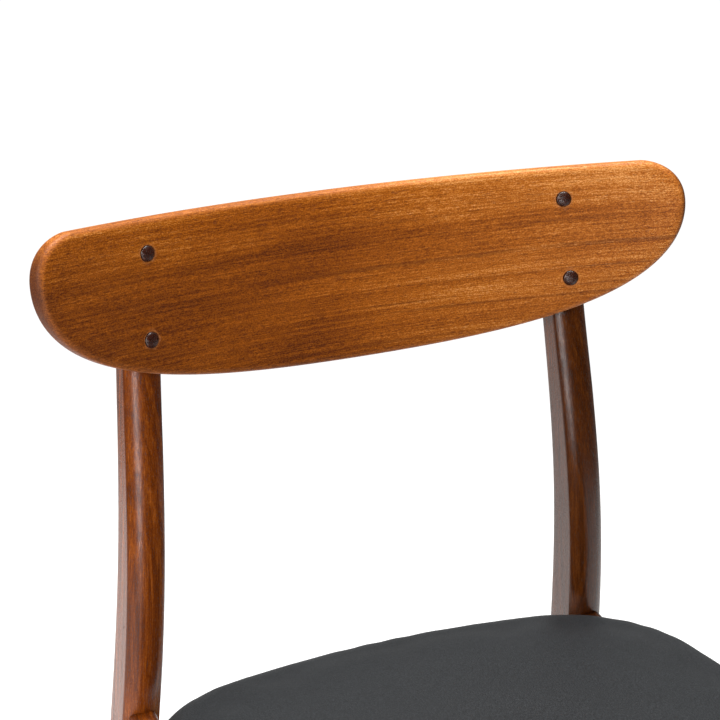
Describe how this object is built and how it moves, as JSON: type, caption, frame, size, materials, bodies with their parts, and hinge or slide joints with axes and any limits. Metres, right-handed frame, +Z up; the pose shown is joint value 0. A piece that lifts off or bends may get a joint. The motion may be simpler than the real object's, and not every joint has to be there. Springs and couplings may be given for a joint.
{
  "type": "dining chair",
  "caption": "Dining chair with a bent wooden backrest plugged to curved rear legs, turned front legs and a padded leather-covered seat.",
  "frame": {"origin": "on the floor, under the middle of the chair's bounding box", "axes": "+Z up; the chair faces -Y (the side a person sits down from); +X to the right of a viewer who stands in front of it"},
  "size_m": [0.4524, 0.544, 0.7742],
  "materials": {
    "teak": "oiled satin, fine lengthwise grain",
    "walnut_stain": "dark red-brown stain, satin",
    "plug_wood": "dark hardwood, polished",
    "beech": "raw",
    "plywood": "raw birch ply",
    "foam": "upholstery foam",
    "black_leather": "satin, fine grain",
    "black_cloth": "matt non-woven",
    "zinc_steel": "zinc plated",
    "nylon": "moulded"
  },
  "bodies": {
    "root": {"backrest_panel": "teak", "backrest_plug_lower_left": "plug_wood", "backrest_plug_lower_right": "plug_wood", "backrest_plug_upper_left": "plug_wood", "backrest_plug_upper_right": "plug_wood", "backrest_screw_lower_left": "zinc_steel", "backrest_screw_lower_right": "zinc_steel", "backrest_screw_upper_left": "zinc_steel", "backrest_screw_upper_right": "zinc_steel", "block_screw_front_cross_left": "zinc_steel", "block_screw_front_cross_right": "zinc_steel", "block_screw_front_side_left": "zinc_steel", "block_screw_front_side_right": "zinc_steel", "block_screw_rear_cross_left": "zinc_steel", "block_screw_rear_cross_right": "zinc_steel", "block_screw_rear_side_left": "zinc_steel", "block_screw_rear_side_right": "zinc_steel", "corner_block_front_left": "beech", "corner_block_front_right": "beech", "corner_block_rear_left": "beech", "corner_block_rear_right": "beech", "dowel_front_lower_left": "beech", "dowel_front_lower_right": "beech", "dowel_front_upper_left": "beech", "dowel_front_upper_right": "beech", "dowel_rear_lower_left": "beech", "dowel_rear_lower_right": "beech", "dowel_rear_upper_left": "beech", "dowel_rear_upper_right": "beech", "dowel_side_front_lower_left": "beech", "dowel_side_front_lower_right": "beech", "dowel_side_front_upper_left": "beech", "dowel_side_front_upper_right": "beech", "dowel_side_rear_lower_left": "beech", "dowel_side_rear_lower_right": "beech", "dowel_side_rear_upper_left": "beech", "dowel_side_rear_upper_right": "beech", "dust_cover": "black_cloth", "foot_glide_front_left": "nylon", "foot_glide_front_right": "nylon", "foot_glide_rear_left": "nylon", "foot_glide_rear_right": "nylon", "front_leg_left": "walnut_stain", "front_leg_right": "walnut_stain", "front_rail": "walnut_stain", "rear_leg_left": "walnut_stain", "rear_leg_right": "walnut_stain", "rear_rail": "walnut_stain", "seat_board": "plywood", "seat_cover": "black_leather", "seat_foam": "foam", "seat_screw_front_left": "zinc_steel", "seat_screw_front_right": "zinc_steel", "seat_screw_rear_left": "zinc_steel", "seat_screw_rear_right": "zinc_steel", "side_rail_left": "walnut_stain", "side_rail_right": "walnut_stain"}
  },
  "joints": []
}
